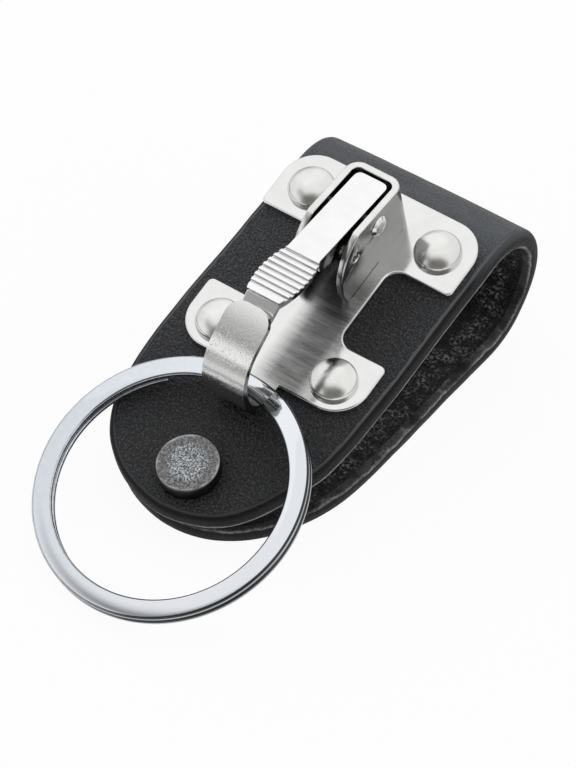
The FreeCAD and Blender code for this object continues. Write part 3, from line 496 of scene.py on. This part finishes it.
def edge_leather():
    """The cut edge: burnished black and slightly fibrous. A thin pale line, partly wear and partly
    a painted highlight, runs where the bevel meets the grain, and the lower corner is rubbed pale,
    all along the front and in patches on the fold and the back."""
    skin = Finish("leather_edge")
    place = skin.strap_place()
    _, down, height = skin.split(place)
    fibre = skin.noise_of(place, 2.2, 5.0, 0.7)
    drift = skin.spread(skin.noise_of(place, 0.4, 4.0, 0.6), *MOST, -0.16, 0.16)
    level = skin.plus(height, drift)
    front = skin.spread(down, *FRONT_PART)
    # The rubbed corner: wide on the front, narrow and patchy elsewhere.
    wide = skin.ramp(level, RUBBED_WIDE)
    narrow = skin.ramp(level, RUBBED_NARROW)
    patchy = skin.spread(skin.noise_of(place, 0.18, 2.0, 0.5), 0.36, 0.56, 0.2, 1.0)
    whole = skin.spread(skin.noise_of(place, 0.25, 2.0, 0.5), 0.3, 0.5, 0.55, 1.0)
    corner = skin.mixed(front, skin.times(narrow, patchy), skin.times(wide, whole))
    rubbed = skin.times(corner, skin.spread(fibre, 0.35, 0.58, 0.35, 1.0))
    # The pale line at the top, partly wear and partly painted highlight, which fades on the tongue
    # and on the fold.
    top = skin.spread(skin.plus(height, skin.times(drift, 0.1)), LINE_FOOT, THICK)
    line = skin.ramp(top, LINE_SHARES)
    fading = skin.times(skin.spread(front, 0.0, 1.0, 0.3, 0.85),
                        skin.spread(down, *LINE_FADE, 1.0, 0.4))
    # The bevel carries the fold's painted highlight where the strap begins to bend.
    bent = skin.times(skin.spread(down, *BEND_FRONT), skin.spread(down, *BEND_BACK))
    bevel_highlight = skin.times(bent, skin.spread(height, *BEVEL_HEIGHT, 0.0, 0.9))
    colour = skin.ramp(fibre, [(0.3, 0.003), (0.7, BURNISHED)])
    colour = skin.mixed(bevel_highlight, colour, FOLD_BEVEL_HIGHLIGHT)
    colour = skin.mixed(rubbed, colour, RUBBED)
    colour = skin.mixed(skin.times(line, fading), colour, WORN_LINE_AND_HIGHLIGHT)
    skin.give(Base_Color=colour, Roughness=skin.spread(fibre, *MOST, 0.5, 0.7),
              Normal=skin.bump([(fibre, 0.4, 0.14)]), Specular_IOR_Level=0.2)
    return skin.material


# Ways of the part and of its front, the ring's upright as it lies, and the middle of the ring and
# of the snap's face.
ACROSS, UPRIGHT = (1.0, 0.0, 0.0), (0.0, 0.0, 1.0)
FRONT_UP = (0.0, -SIN_W, COS_W)
FRONT_ALONG = (0.0, COS_W, SIN_W)
RING_UP = (-0.0785, -0.3926, 0.9164)
ring_box = np.array(nodes["split_ring"].bound_box) / MM
RING_CENTRE = tuple((ring_box.min(axis=0) + ring_box.max(axis=0)) / 2)
SNAP_TOP = front_point(0.0, -34.1, 1.2)

# The hook, by the way along the front: where its hollow, its lip and its outer face begin, each
# over a short way, and where its arm bends. By height: where the lip ends, and where the creases of
# the face carry painted dark reflection bands.
HOLLOW, LIP, OUTER = (-17.0, -18.0), (-17.6, -18.4), (-21.6, -22.0)
ARM_BEND = -19.4
LIP_TOP, CREASED = (7.5, 8.5), (8.0, 12.0)
CREASE_REFLECTION_TONES = [(0.0, 0.95), (0.12, 0.85), (0.25, 0.78), (0.35, 0.5), (0.43, 0.72), (0.55, 0.7),
                (0.68, 0.5), (0.76, 0.55), (0.83, 1.0)]
OVER_PLATE = (0.3, 1.2)         # heights over which the plate's polish turns to satin
SATIN = (0.9, 0.895, 0.88)
HOLLOW_SHADE = (0.1, 0.1, 0.095)
# The right half of the web, which mirrors the lever, gets a painted dark reflection of it, and the
# ring's left half a painted darker reflection than its right.
WEB_REFLECTION, WEB_HAZE = (0.15, 0.15, 0.148), 0.2
RING_SHADE_TONE, RING_HAZE = (0.64, 0.68, 0.73), 0.0
# The ring's face is flat out to this radius and falls away beyond it.
RING_FLAT, RING_FALL = 17.7, 0.075
# The snap's face, by the way out from its middle: where its dark band and its painted rim highlight
# begin.
SNAP_BAND, SNAP_RIM = (2.5, 3.1), (4.15, 4.45)
RIM_HIGHLIGHT = (0.5, 0.51, 0.53)


class Steel(Finish):
    """Bare steel with brushing, faint scratches and a trace of grime."""

    def __init__(self, name, colour, rough, scratch, dirt, brushed=(1.0, 1.0, 1.0)):
        super().__init__(name)
        self.place = self.own_place()
        self.streak = self.noise_of(self.own_place(brushed), 1.2, 5.0, 0.7)
        cloud = self.noise_of(self.place, 0.28, 4.0, 0.6)
        darker = tuple(c * (1 - dirt) for c in colour)
        self.tint = self.ramp(cloud, [(0.32, darker), (0.62, colour)])
        uneven = self.plus(self.times(self.streak, 0.6), self.times(cloud, 0.4))
        self.polish = self.spread(uneven, 0.35, 0.65, *rough)
        self.heights = [(self.streak, scratch, 0.02)]

    def domed(self, centre, radius, fall):
        """Beyond the radius the face falls away with the square of the way out."""
        way = self.vector("DISTANCE", self.place, centre)
        out = self.most(self.less(way, radius), 0.0)
        self.heights.append((self.times(out, out, -1.0), 1.0, fall))

    def satin_hook(self):
        """Over the plate the polish gives way to a satin finish, pitted on the bend of the hook and
        bellied along its arm. The side walls get painted shade."""
        over = self.spread(self.level(self.place, FRONT_UP), *OVER_PLATE)
        arm = self.most(self.less(self.level(self.place, FRONT_ALONG), ARM_BEND), 0.0)
        belly = self.times(over, arm, arm, -1.0)
        worn = self.times(over, self.spread(arm, 0.0, 1.6, 1.0, 0.3))
        fine = self.noise_of(self.place, 4.0, 3.0, 0.7)
        pits = self.times(worn, self.spread(self.cells_of(self.place, 2.6), 0.05, 0.28))
        self.heights += [(belly, 1.0, 0.015), (self.times(worn, fine), 0.3, 0.05),
                         (pits, 0.35, 0.05)]
        mottle = self.times(worn, self.spread(fine, 0.54, 0.36, 0.0, 0.26))
        # Painted shade on the hook's side walls.
        hook_wall_shade = self.spread(self.size_of(self.facing(ACROSS)), 0.45, 0.85, 0.0, 0.85)
        self.tint = self.mixed(over, self.tint, SATIN)
        self.tint = self.mixed(mottle, self.tint, grey(0.35))
        self.tint = self.mixed(self.times(over, hook_wall_shade), self.tint, grey(0.1))
        self.polish = self.plus(self.times(self.polish, self.less(1.0, over)),
                                self.times(self.spread(fine, *MOST, 0.1, 0.2), over))

    def hook_shade_and_reflections(self):
        """The hollow of the hook and its lip get painted shade, and the creases of its face carry
        painted dark reflection bands.
        """
        way = self.level(self.place, FRONT_ALONG)
        height = self.level(self.place, FRONT_UP)
        between = tuple(math.sqrt(0.5) * (a + b) for a, b in zip(FRONT_ALONG, FRONT_UP))
        hollow = self.times(self.spread(self.facing(FRONT_ALONG), 0.1, 0.45),
                            self.spread(way, *HOLLOW))
        lip = self.times(self.spread(self.facing(between), 0.0, 0.3), self.spread(way, *LIP),
                         self.spread(height, *LIP_TOP, 1.0, 0.0))
        # Painted shade in the hollow and on the lip.
        self.tint = self.mixed(self.most(hollow, lip), self.tint, HOLLOW_SHADE)
        # Painted dark reflection bands along the creases of the outer face.
        stray = self.spread(self.noise_of(self.place, 0.5, 2.0, 0.5), *MOST, -0.08, 0.08)
        crease = self.ramp(self.spread(self.plus(height, stray), *CREASED), CREASE_REFLECTION_TONES)
        reflection_bands = self.times(self.spread(way, *OUTER), self.less(1.0, crease))
        self.tint = self.mixed(reflection_bands, self.tint, grey(0.02))

    def paint_shade_by_facing(self, axis, shares):
        """Painted shade: how much of the tint is left, by how squarely the surface faces an axis.
        """
        share = self.ramp(self.size_of(self.facing(axis)), shares)
        self.tint = self.mixed(share, grey(0.0), self.tint)

    def painted_dark_field(self, tone, haze, ranges):
        """A field of painted darker reflection, made rougher by haze. ranges gives its soft limits
        along several ways: where it begins, is full, is full last and ends."""
        fields = []
        for axis, begin, full, last, end in ranges:
            way = self.level(self.place, axis)
            fields += [self.spread(way, begin, full), self.spread(way, last, end, 1.0, 0.0)]
        field = self.times(*fields)
        self.polish = self.plus(self.polish, self.times(field, haze))
        field = self.times(field, self.spread(self.streak, 0.3, 0.62, 1.0, 0.6))
        self.tint = self.mixed(field, self.tint, tone)

    def done(self):
        self.give(Metallic=1.0, Base_Color=self.tint, Roughness=self.polish,
                  Normal=self.bump(self.heights))
        return self.material


def antique_nickel():
    """Tumbled dark nickel: a sparkling grey face that darkens towards its rim, a painted highlight
    on the rim itself, and walls painted nearly black as shade."""
    metal = Finish("snap_antique_nickel")
    place = metal.own_place()
    grain = metal.noise_of(place, 3.6, 4.0, 0.75)
    cloud = metal.noise_of(place, 0.5, 3.0, 0.6)
    out = metal.plus(metal.vector("DISTANCE", place, SNAP_TOP),
                     metal.spread(cloud, *MOST, -0.25, 0.25))
    middle = metal.ramp(grain, [(0.4, 0.06), (0.5, (0.21, 0.224, 0.238)),
                                (0.6, (0.6, 0.626, 0.652))])
    band = metal.ramp(grain, [(0.36, 0.06), (0.5, 0.17), (0.66, 0.36)])
    face = metal.mixed(metal.spread(out, *SNAP_BAND), middle, band)
    # Painted highlight on the rim.
    face = metal.mixed(metal.spread(out, *SNAP_RIM, 0.0, 0.8), face, RIM_HIGHLIGHT)
    # Painted shade on the walls.
    snap_wall_shade = metal.ramp(cloud, [(0.3, 0.03), (0.7, 0.085)])
    upward = metal.spread(metal.facing(FRONT_UP), 0.6, 0.92)
    metal.give(Metallic=1.0, Base_Color=metal.mixed(upward, snap_wall_shade, face),
               Roughness=metal.spread(grain, *MOST, 0.55, 0.34),
               Normal=metal.bump([(grain, 0.55, 0.07)]))
    return metal.material


# Strap
LEATHER = [grain_leather(), suede_leather(), edge_leather()]
halves = split_outline(FRONT_EDGE, FRONT_SEAM)
rings, coords = strap_rings(*halves, inward_ways(*halves), lambda v: FRONT_SEAM - v, front_place)
strap_front = strap_mesh("strap_front", rings, coords, True)

# The fold's edges run straight from one panel's to the other's, and are drawn in across only.
fold_s = np.linspace(0, -FOLD_LENGTH, FOLD_STEPS + 1)
fold_halves = [np.stack([np.linspace(FRONT_EDGE[end][0], BACK_EDGE[end][0], FOLD_STEPS + 1),
                         fold_s], axis=1) for end in (0, -1)]
fold_ways = [np.tile((sign, 0.0), (FOLD_STEPS + 1, 1)) for sign in (1.0, -1.0)]
rings, coords = strap_rings(*fold_halves, fold_ways, lambda s: s, fold_place)
strap_bend = strap_mesh("strap_bend", rings, coords, False)

halves = split_outline(BACK_EDGE, BACK_SEAM)
rings, coords = strap_rings(*halves, inward_ways(*halves),
                            lambda v: v - BACK_SEAM - FOLD_LENGTH, back_place)
strap_back = strap_mesh("strap_back", rings, coords, True)

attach(strap_front, "front")
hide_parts("strap_front_panel")
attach(strap_back, "back")
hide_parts("strap_back_panel")
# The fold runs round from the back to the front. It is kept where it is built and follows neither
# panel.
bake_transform(strap_bend)
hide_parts("strap_fold")

# Metal pieces
plate = Steel("plate_steel", (0.78, 0.78, 0.775), rough=(0.07, 0.15), scratch=0.06, dirt=0.06,
              brushed=(0.12, 1.0, 1.0))
plate.satin_hook()
plate.hook_shade_and_reflections()
# Painted dark reflection of the lever on the web, with some haze.
plate.painted_dark_field(WEB_REFLECTION, WEB_HAZE, [(ACROSS, -1.5, 1.5, 5.8, 7.6),
                                  (FRONT_ALONG, -19.0, -16.0, 2.0, 5.0),
                                  (FRONT_UP, -2.0, -1.5, 0.1, 0.5)])
housing = Steel("housing_steel", (0.8, 0.8, 0.79), rough=(0.16, 0.3), scratch=0.12, dirt=0.1,
                brushed=(1.0, 0.15, 1.0))
# Painted shade on the housing's walls.
housing.paint_shade_by_facing(FRONT_UP, [(0.3, 0.4), (0.75, 1.0)])
lever = Steel("lever_steel", (0.88, 0.88, 0.885), rough=(0.08, 0.16), scratch=0.05, dirt=0.05,
              brushed=(1.0, 0.2, 1.0))
# Painted shade on the lever's sides and in its rib grooves.
lever.paint_shade_by_facing(UPRIGHT, [(0.12, 0.22), (0.35, 0.98), (0.6, 0.85), (0.88, 0.78), (0.965, 1.0)])
rivet = Steel("rivet_steel", (0.82, 0.82, 0.8), rough=(0.18, 0.28), scratch=0.05, dirt=0.1)
wire = Steel("spring_steel", (0.55, 0.55, 0.54), rough=(0.2, 0.35), scratch=0.1, dirt=0.2)
chrome = Steel("ring_chrome", (0.76, 0.79, 0.825), rough=(0.04, 0.08), scratch=0.03, dirt=0.02)
chrome.domed(RING_CENTRE, RING_FLAT, RING_FALL)
# Painted dark reflections on the ring's rounded edges, and a dimmer wall.
chrome.paint_shade_by_facing(RING_UP, [(0.0, 0.55), (0.3, 0.5), (0.45, 0.07), (0.95, 0.07), (0.993, 1.0)])
# Painted darker reflection on the ring's left half.
chrome.painted_dark_field(RING_SHADE_TONE, RING_HAZE, [(ACROSS, -60.0, -50.0, -12.0, 6.0)])

rivet_steel = rivet.done()
FINISH = {
    "hook_plate": plate.done(),
    "lever_housing": housing.done(),
    "thumb_lever": lever.done(),
    "lever_pin": rivet_steel,
    "lever_spring": wire.done(),
    "snap_cap": antique_nickel(),
    "snap_socket": rivet_steel,
    "snap_stud": rivet_steel,
    "snap_post": rivet_steel,
    "split_ring": chrome.done(),
}
FINISH.update({name: rivet_steel for name in nodes if name.startswith("rivet")})
for name, material in FINISH.items():
    nodes[name].data.materials.clear()
    nodes[name].data.materials.append(material)

# The lever's spring is wound on the pin. A copy of it, kept where it is, is drawn in place of the
# imported piece.
spring = bpy.data.objects.new("spring_wire", nodes["lever_spring"].data.copy())
scene.collection.objects.link(spring)
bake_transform(spring)
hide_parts("lever_spring")

# Rounded edges, as tumbling and polishing leave them.
EDGE_ROUND = {"lever_housing": 0.22, "thumb_lever": 0.1, "lever_pin": 0.12, "snap_cap": 0.06}
ROUND_STEPS = 3
ROUND_ANGLE = math.radians(38)
WELD_GAP = 0.002
NORMAL_WEIGHT = 60
for name, width in EDGE_ROUND.items():
    modifiers = nodes[name].modifiers
    weld = modifiers.new("weld", "WELD")
    weld.merge_threshold = WELD_GAP * MM
    round_off = modifiers.new("round", "BEVEL")
    round_off.width = width * MM
    round_off.segments = ROUND_STEPS
    round_off.limit_method = "ANGLE"
    round_off.angle_limit = ROUND_ANGLE
    round_off.use_clamp_overlap = False
    normals = modifiers.new("normals", "WEIGHTED_NORMAL")
    normals.mode = "FACE_AREA_WITH_ANGLE"
    normals.weight = NORMAL_WEIGHT

# Floor, in metres. It is white to the eye and in mirrors, and keeps a trace of the shadow.
FLOOR_HALF, FLOOR_DROP, FLOOR_GLOW = 1.5, 0.0001, 0.94
floor_mesh = bpy.data.meshes.new("floor")
floor_mesh.from_pydata([(x * FLOOR_HALF, y * FLOOR_HALF, 0)
                        for x, y in ((-1, -1), (1, -1), (1, 1), (-1, 1))], [], [(0, 1, 2, 3)])
floor = bpy.data.objects.new("floor", floor_mesh)
floor.location = (0, 0, -FLOOR_DROP)
scene.collection.objects.link(floor)
paint = Finish("floor_white")
paint.give(Base_Color=grey(0.97), Roughness=0.9, Specular_IOR_Level=0.0)
path = paint.add("ShaderNodeLightPath").outputs
glow = paint.add("ShaderNodeEmission", {"Color": grey(1.0), "Strength": 1.0})
mirrored = paint.most(path["Is Glossy Ray"], path["Is Transmission Ray"])
seen = paint.times(paint.most(path["Is Camera Ray"], mirrored), FLOOR_GLOW)
both = paint.add("ShaderNodeMixShader",
                 {0: seen, 1: paint.shader.outputs[0], 2: glow.outputs[0]})
paint.feed(paint.tree.nodes["Material Output"].inputs["Surface"], both.outputs[0])
floor_mesh.materials.append(paint.material)

# A white tent, dark at the horizon, with a grey slit high on the front side and a dark opening
# there. Greys go by the height of a way, from 0 at the horizon to 1 overhead.
TENT = [(0.0, 0.08), (0.09, 0.1), (0.17, 0.85), (0.3, 0.97), (1.0, 1.0)]
TENT_FRONT = [(0.0, 0.1), (0.09, 0.4), (0.17, 1.0), (0.53, 1.0), (0.62, 0.6), (0.69, 0.3),
              (0.75, 0.42), (0.86, 0.97)]
FRONT_SIDE = (-0.2, -0.55)      # where the front side begins and is full, along y
OPENING_WAY, OPENING_EDGE = (0.348, -0.795, 0.497), (0.73, 0.86)
OPENING_TONE = (0.14, 0.135, 0.12)
world = bpy.data.worlds.new("studio")
scene.world = world
world.use_nodes = True
sky = Nodes(world.node_tree)
way = sky.add("ShaderNodeTexCoord").outputs["Generated"]
_, toward, height = sky.split(way)
front_share = sky.spread(toward, *FRONT_SIDE)
tent = sky.mixed(front_share, sky.ramp(height, TENT), sky.ramp(height, TENT_FRONT))
opening = sky.spread(sky.vector("DOT_PRODUCT", way, OPENING_WAY), *OPENING_EDGE, 0.0, 0.9)
background = sky.tree.nodes["Background"].inputs
sky.feed(background["Color"], sky.mixed(opening, tent, OPENING_TONE))
sky.feed(background["Strength"], 1.0)

# One large soft box from behind on the left, in metres and watts.
KEY_PLACE, KEY_TARGET = Vector((-0.5, 0.35, 0.7)), Vector((0, -0.01, 0.015))
KEY_SIDE, KEY_POWER = 0.9, 0.25
lamp = bpy.data.lights.new("key", "AREA")
lamp.shape = "RECTANGLE"
lamp.size = lamp.size_y = KEY_SIDE
lamp.energy = KEY_POWER
key = bpy.data.objects.new("key", lamp)
key.location = KEY_PLACE
key.rotation_euler = (KEY_TARGET - KEY_PLACE).to_track_quat("-Z", "Y").to_euler()
scene.collection.objects.link(key)

# Camera, as fitted to the photograph: its focal length and the picture's height in pixels, its
# place in metres and its own ways.
FOCAL_LENGTH, PICTURE_HEIGHT, SENSOR = 3869.6, 768, 36
CAMERA_PLACE = (0.206, -0.3279, 0.4087)
RIGHT = Vector((0.819, 0.5727, 0.0352))
DOWN = Vector((0.4369, -0.5827, -0.6853))
FORWARD = Vector((-0.372, 0.5767, -0.7275))
camera_data = bpy.data.cameras.new("camera")
camera_data.lens = FOCAL_LENGTH / PICTURE_HEIGHT * SENSOR
camera_data.sensor_width = SENSOR
camera_data.clip_start, camera_data.clip_end = 0.01, 20
camera = bpy.data.objects.new("camera", camera_data)
scene.collection.objects.link(camera)
turn = Matrix((RIGHT, -DOWN, -FORWARD)).transposed().to_quaternion().to_matrix().to_4x4()
camera.matrix_world = Matrix.Translation(CAMERA_PLACE) @ turn
scene.camera = camera
scene.view_settings.view_transform = "Standard"
